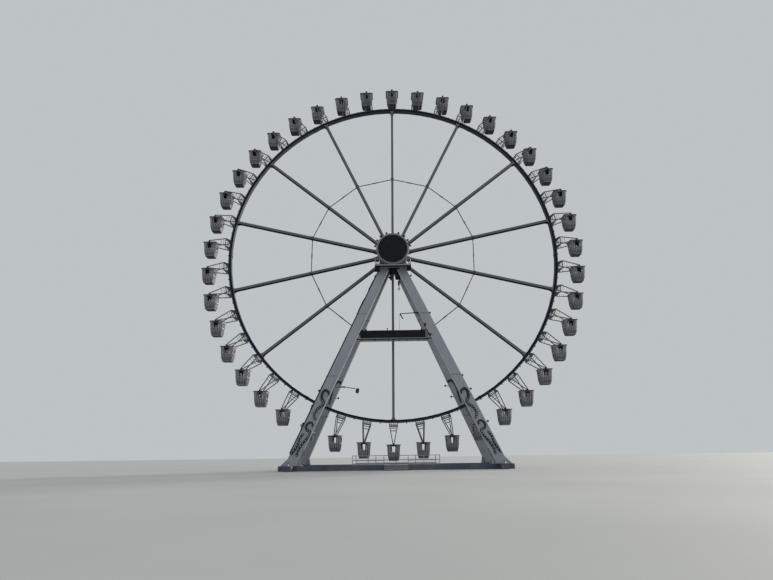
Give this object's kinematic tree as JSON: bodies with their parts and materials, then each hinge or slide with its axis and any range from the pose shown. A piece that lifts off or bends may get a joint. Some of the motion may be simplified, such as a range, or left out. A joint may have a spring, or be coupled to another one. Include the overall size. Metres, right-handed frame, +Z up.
{
  "type": "ferris wheel scale model",
  "caption": "Travelling ferris wheel with hanging cabins on a spoked box-section rim, carried by splayed front and back legs on a ground frame with a boarding deck.",
  "frame": {"origin": "on the ground, straight below the middle of the hub", "axes": "+Z up, +Y along the axle from the screen side to the back, +X to the right as seen from the front"},
  "size_m": [25.6588, 6.6, 26.3498],
  "materials": {
    "rim_paint": "satin",
    "spoke_paint": "satin",
    "leg_paint": "satin",
    "cabin_paint": "satin",
    "screen_black": "semi-gloss",
    "base_steel": "satin",
    "deck_plate": "brushed"
  },
  "bodies": {
    "base": {"front_left_leg": "leg_paint", "front_right_leg": "leg_paint", "back_left_leg": "leg_paint", "back_right_leg": "leg_paint", "front_head": "leg_paint", "back_head": "leg_paint", "round_screen": "screen_black", "front_sign_beam": "screen_black", "back_tie_beam": "leg_paint", "base_frame": "base_steel", "boarding_deck": "deck_plate"},
    "wheel": {"spoke_frame": "spoke_paint", "rim_arc_1": "rim_paint", "rim_arc_2": "rim_paint", "rim_arc_3": "rim_paint", "rim_arc_4": "rim_paint", "rim_arc_5": "rim_paint", "rim_arc_6": "rim_paint"},
    "cabin_01": {"cabin_01": "cabin_paint"},
    "cabin_02": {"cabin_02": "cabin_paint"},
    "cabin_03": {"cabin_03": "cabin_paint"},
    "cabin_04": {"cabin_04": "cabin_paint"},
    "cabin_05": {"cabin_05": "cabin_paint"},
    "cabin_06": {"cabin_06": "cabin_paint"},
    "cabin_07": {"cabin_07": "cabin_paint"},
    "cabin_08": {"cabin_08": "cabin_paint"},
    "cabin_09": {"cabin_09": "cabin_paint"},
    "cabin_10": {"cabin_10": "cabin_paint"},
    "cabin_11": {"cabin_11": "cabin_paint"},
    "cabin_12": {"cabin_12": "cabin_paint"},
    "cabin_13": {"cabin_13": "cabin_paint"},
    "cabin_14": {"cabin_14": "cabin_paint"},
    "cabin_15": {"cabin_15": "cabin_paint"},
    "cabin_16": {"cabin_16": "cabin_paint"},
    "cabin_17": {"cabin_17": "cabin_paint"},
    "cabin_18": {"cabin_18": "cabin_paint"},
    "cabin_19": {"cabin_19": "cabin_paint"},
    "cabin_20": {"cabin_20": "cabin_paint"},
    "cabin_21": {"cabin_21": "cabin_paint"},
    "cabin_22": {"cabin_22": "cabin_paint"},
    "cabin_23": {"cabin_23": "cabin_paint"},
    "cabin_24": {"cabin_24": "cabin_paint"},
    "cabin_25": {"cabin_25": "cabin_paint"},
    "cabin_26": {"cabin_26": "cabin_paint"},
    "cabin_27": {"cabin_27": "cabin_paint"},
    "cabin_28": {"cabin_28": "cabin_paint"},
    "cabin_29": {"cabin_29": "cabin_paint"},
    "cabin_30": {"cabin_30": "cabin_paint"},
    "cabin_31": {"cabin_31": "cabin_paint"},
    "cabin_32": {"cabin_32": "cabin_paint"},
    "cabin_33": {"cabin_33": "cabin_paint"},
    "cabin_34": {"cabin_34": "cabin_paint"},
    "cabin_35": {"cabin_35": "cabin_paint"},
    "cabin_36": {"cabin_36": "cabin_paint"},
    "cabin_37": {"cabin_37": "cabin_paint"},
    "cabin_38": {"cabin_38": "cabin_paint"},
    "cabin_39": {"cabin_39": "cabin_paint"},
    "cabin_40": {"cabin_40": "cabin_paint"},
    "cabin_41": {"cabin_41": "cabin_paint"},
    "cabin_42": {"cabin_42": "cabin_paint"}
  },
  "joints": [
    {"name": "wheel_spin", "type": "hinge", "parent": "base", "child": "wheel", "pos_m": [0, 0, 13.9], "axis": [0, 1, 0], "continuous": true},
    {"name": "cabin_01_swing", "type": "hinge", "parent": "wheel", "child": "cabin_01", "pos_m": [0.12985, 0, 26.29932], "axis": [0, 1, 0], "continuous": true},
    {"name": "cabin_02_swing", "type": "hinge", "parent": "wheel", "child": "cabin_02", "pos_m": [1.97642, 0, 26.14148], "axis": [0, 1, 0], "continuous": true},
    {"name": "cabin_03_swing", "type": "hinge", "parent": "wheel", "child": "cabin_03", "pos_m": [3.77885, 0, 25.71018], "axis": [0, 1, 0], "continuous": true},
    {"name": "cabin_04_swing", "type": "hinge", "parent": "wheel", "child": "cabin_04", "pos_m": [5.49685, 0, 25.01506], "axis": [0, 1, 0], "continuous": true},
    {"name": "cabin_05_swing", "type": "hinge", "parent": "wheel", "child": "cabin_05", "pos_m": [7.09207, 0, 24.07165], "axis": [0, 1, 0], "continuous": true},
    {"name": "cabin_06_swing", "type": "hinge", "parent": "wheel", "child": "cabin_06", "pos_m": [8.52887, 0, 22.90102], "axis": [0, 1, 0], "continuous": true},
    {"name": "cabin_07_swing", "type": "hinge", "parent": "wheel", "child": "cabin_07", "pos_m": [9.77514, 0, 21.52933], "axis": [0, 1, 0], "continuous": true},
    {"name": "cabin_08_swing", "type": "hinge", "parent": "wheel", "child": "cabin_08", "pos_m": [10.80305, 0, 19.98721], "axis": [0, 1, 0], "continuous": true},
    {"name": "cabin_09_swing", "type": "hinge", "parent": "wheel", "child": "cabin_09", "pos_m": [11.58964, 0, 18.30911], "axis": [0, 1, 0], "continuous": true},
    {"name": "cabin_10_swing", "type": "hinge", "parent": "wheel", "child": "cabin_10", "pos_m": [12.11734, 0, 16.53251], "axis": [0, 1, 0], "continuous": true},
    {"name": "cabin_11_swing", "type": "hinge", "parent": "wheel", "child": "cabin_11", "pos_m": [12.37435, 0, 14.69712], "axis": [0, 1, 0], "continuous": true},
    {"name": "cabin_12_swing", "type": "hinge", "parent": "wheel", "child": "cabin_12", "pos_m": [12.35495, 0, 12.84391], "axis": [0, 1, 0], "continuous": true},
    {"name": "cabin_13_swing", "type": "hinge", "parent": "wheel", "child": "cabin_13", "pos_m": [12.05955, 0, 11.0143], "axis": [0, 1, 0], "continuous": true},
    {"name": "cabin_14_swing", "type": "hinge", "parent": "wheel", "child": "cabin_14", "pos_m": [11.49476, 0, 9.24915], "axis": [0, 1, 0], "continuous": true},
    {"name": "cabin_15_swing", "type": "hinge", "parent": "wheel", "child": "cabin_15", "pos_m": [10.6732, 0, 7.58789], "axis": [0, 1, 0], "continuous": true},
    {"name": "cabin_16_swing", "type": "hinge", "parent": "wheel", "child": "cabin_16", "pos_m": [9.61322, 0, 6.06763], "axis": [0, 1, 0], "continuous": true},
    {"name": "cabin_17_swing", "type": "hinge", "parent": "wheel", "child": "cabin_17", "pos_m": [8.33849, 0, 4.72234], "axis": [0, 1, 0], "continuous": true},
    {"name": "cabin_18_swing", "type": "hinge", "parent": "wheel", "child": "cabin_18", "pos_m": [6.8775, 0, 3.58205], "axis": [0, 1, 0], "continuous": true},
    {"name": "cabin_19_swing", "type": "hinge", "parent": "wheel", "child": "cabin_19", "pos_m": [5.26287, 0, 2.67226], "axis": [0, 1, 0], "continuous": true},
    {"name": "cabin_20_swing", "type": "hinge", "parent": "wheel", "child": "cabin_20", "pos_m": [3.53068, 0, 2.01327], "axis": [0, 1, 0], "continuous": true},
    {"name": "cabin_21_swing", "type": "hinge", "parent": "wheel", "child": "cabin_21", "pos_m": [1.71962, 0, 1.61982], "axis": [0, 1, 0], "continuous": true},
    {"name": "cabin_22_swing", "type": "hinge", "parent": "wheel", "child": "cabin_22", "pos_m": [-0.12985, 0, 1.50068], "axis": [0, 1, 0], "continuous": true},
    {"name": "cabin_23_swing", "type": "hinge", "parent": "wheel", "child": "cabin_23", "pos_m": [-1.97642, 0, 1.65852], "axis": [0, 1, 0], "continuous": true},
    {"name": "cabin_24_swing", "type": "hinge", "parent": "wheel", "child": "cabin_24", "pos_m": [-3.77885, 0, 2.08982], "axis": [0, 1, 0], "continuous": true},
    {"name": "cabin_25_swing", "type": "hinge", "parent": "wheel", "child": "cabin_25", "pos_m": [-5.49685, 0, 2.78494], "axis": [0, 1, 0], "continuous": true},
    {"name": "cabin_26_swing", "type": "hinge", "parent": "wheel", "child": "cabin_26", "pos_m": [-7.09207, 0, 3.72835], "axis": [0, 1, 0], "continuous": true},
    {"name": "cabin_27_swing", "type": "hinge", "parent": "wheel", "child": "cabin_27", "pos_m": [-8.52887, 0, 4.89898], "axis": [0, 1, 0], "continuous": true},
    {"name": "cabin_28_swing", "type": "hinge", "parent": "wheel", "child": "cabin_28", "pos_m": [-9.77514, 0, 6.27067], "axis": [0, 1, 0], "continuous": true},
    {"name": "cabin_29_swing", "type": "hinge", "parent": "wheel", "child": "cabin_29", "pos_m": [-10.80305, 0, 7.81279], "axis": [0, 1, 0], "continuous": true},
    {"name": "cabin_30_swing", "type": "hinge", "parent": "wheel", "child": "cabin_30", "pos_m": [-11.58964, 0, 9.49089], "axis": [0, 1, 0], "continuous": true},
    {"name": "cabin_31_swing", "type": "hinge", "parent": "wheel", "child": "cabin_31", "pos_m": [-12.11734, 0, 11.26749], "axis": [0, 1, 0], "continuous": true},
    {"name": "cabin_32_swing", "type": "hinge", "parent": "wheel", "child": "cabin_32", "pos_m": [-12.37435, 0, 13.10289], "axis": [0, 1, 0], "continuous": true},
    {"name": "cabin_33_swing", "type": "hinge", "parent": "wheel", "child": "cabin_33", "pos_m": [-12.35495, 0, 14.95609], "axis": [0, 1, 0], "continuous": true},
    {"name": "cabin_34_swing", "type": "hinge", "parent": "wheel", "child": "cabin_34", "pos_m": [-12.05955, 0, 16.7857], "axis": [0, 1, 0], "continuous": true},
    {"name": "cabin_35_swing", "type": "hinge", "parent": "wheel", "child": "cabin_35", "pos_m": [-11.49476, 0, 18.55085], "axis": [0, 1, 0], "continuous": true},
    {"name": "cabin_36_swing", "type": "hinge", "parent": "wheel", "child": "cabin_36", "pos_m": [-10.6732, 0, 20.21211], "axis": [0, 1, 0], "continuous": true},
    {"name": "cabin_37_swing", "type": "hinge", "parent": "wheel", "child": "cabin_37", "pos_m": [-9.61322, 0, 21.73237], "axis": [0, 1, 0], "continuous": true},
    {"name": "cabin_38_swing", "type": "hinge", "parent": "wheel", "child": "cabin_38", "pos_m": [-8.33849, 0, 23.07766], "axis": [0, 1, 0], "continuous": true},
    {"name": "cabin_39_swing", "type": "hinge", "parent": "wheel", "child": "cabin_39", "pos_m": [-6.8775, 0, 24.21795], "axis": [0, 1, 0], "continuous": true},
    {"name": "cabin_40_swing", "type": "hinge", "parent": "wheel", "child": "cabin_40", "pos_m": [-5.26287, 0, 25.12774], "axis": [0, 1, 0], "continuous": true},
    {"name": "cabin_41_swing", "type": "hinge", "parent": "wheel", "child": "cabin_41", "pos_m": [-3.53068, 0, 25.78673], "axis": [0, 1, 0], "continuous": true},
    {"name": "cabin_42_swing", "type": "hinge", "parent": "wheel", "child": "cabin_42", "pos_m": [-1.71962, 0, 26.18018], "axis": [0, 1, 0], "continuous": true}
  ],
  "couplings": [
    {"joint": "cabin_01_swing", "follows": "wheel_spin", "ratio": -1},
    {"joint": "cabin_02_swing", "follows": "wheel_spin", "ratio": -1},
    {"joint": "cabin_03_swing", "follows": "wheel_spin", "ratio": -1},
    {"joint": "cabin_04_swing", "follows": "wheel_spin", "ratio": -1},
    {"joint": "cabin_05_swing", "follows": "wheel_spin", "ratio": -1},
    {"joint": "cabin_06_swing", "follows": "wheel_spin", "ratio": -1},
    {"joint": "cabin_07_swing", "follows": "wheel_spin", "ratio": -1},
    {"joint": "cabin_08_swing", "follows": "wheel_spin", "ratio": -1},
    {"joint": "cabin_09_swing", "follows": "wheel_spin", "ratio": -1},
    {"joint": "cabin_10_swing", "follows": "wheel_spin", "ratio": -1},
    {"joint": "cabin_11_swing", "follows": "wheel_spin", "ratio": -1},
    {"joint": "cabin_12_swing", "follows": "wheel_spin", "ratio": -1},
    {"joint": "cabin_13_swing", "follows": "wheel_spin", "ratio": -1},
    {"joint": "cabin_14_swing", "follows": "wheel_spin", "ratio": -1},
    {"joint": "cabin_15_swing", "follows": "wheel_spin", "ratio": -1},
    {"joint": "cabin_16_swing", "follows": "wheel_spin", "ratio": -1},
    {"joint": "cabin_17_swing", "follows": "wheel_spin", "ratio": -1},
    {"joint": "cabin_18_swing", "follows": "wheel_spin", "ratio": -1},
    {"joint": "cabin_19_swing", "follows": "wheel_spin", "ratio": -1},
    {"joint": "cabin_20_swing", "follows": "wheel_spin", "ratio": -1},
    {"joint": "cabin_21_swing", "follows": "wheel_spin", "ratio": -1},
    {"joint": "cabin_22_swing", "follows": "wheel_spin", "ratio": -1},
    {"joint": "cabin_23_swing", "follows": "wheel_spin", "ratio": -1},
    {"joint": "cabin_24_swing", "follows": "wheel_spin", "ratio": -1},
    {"joint": "cabin_25_swing", "follows": "wheel_spin", "ratio": -1},
    {"joint": "cabin_26_swing", "follows": "wheel_spin", "ratio": -1},
    {"joint": "cabin_27_swing", "follows": "wheel_spin", "ratio": -1},
    {"joint": "cabin_28_swing", "follows": "wheel_spin", "ratio": -1},
    {"joint": "cabin_29_swing", "follows": "wheel_spin", "ratio": -1},
    {"joint": "cabin_30_swing", "follows": "wheel_spin", "ratio": -1},
    {"joint": "cabin_31_swing", "follows": "wheel_spin", "ratio": -1},
    {"joint": "cabin_32_swing", "follows": "wheel_spin", "ratio": -1},
    {"joint": "cabin_33_swing", "follows": "wheel_spin", "ratio": -1},
    {"joint": "cabin_34_swing", "follows": "wheel_spin", "ratio": -1},
    {"joint": "cabin_35_swing", "follows": "wheel_spin", "ratio": -1},
    {"joint": "cabin_36_swing", "follows": "wheel_spin", "ratio": -1},
    {"joint": "cabin_37_swing", "follows": "wheel_spin", "ratio": -1},
    {"joint": "cabin_38_swing", "follows": "wheel_spin", "ratio": -1},
    {"joint": "cabin_39_swing", "follows": "wheel_spin", "ratio": -1},
    {"joint": "cabin_40_swing", "follows": "wheel_spin", "ratio": -1},
    {"joint": "cabin_41_swing", "follows": "wheel_spin", "ratio": -1},
    {"joint": "cabin_42_swing", "follows": "wheel_spin", "ratio": -1}
  ]
}
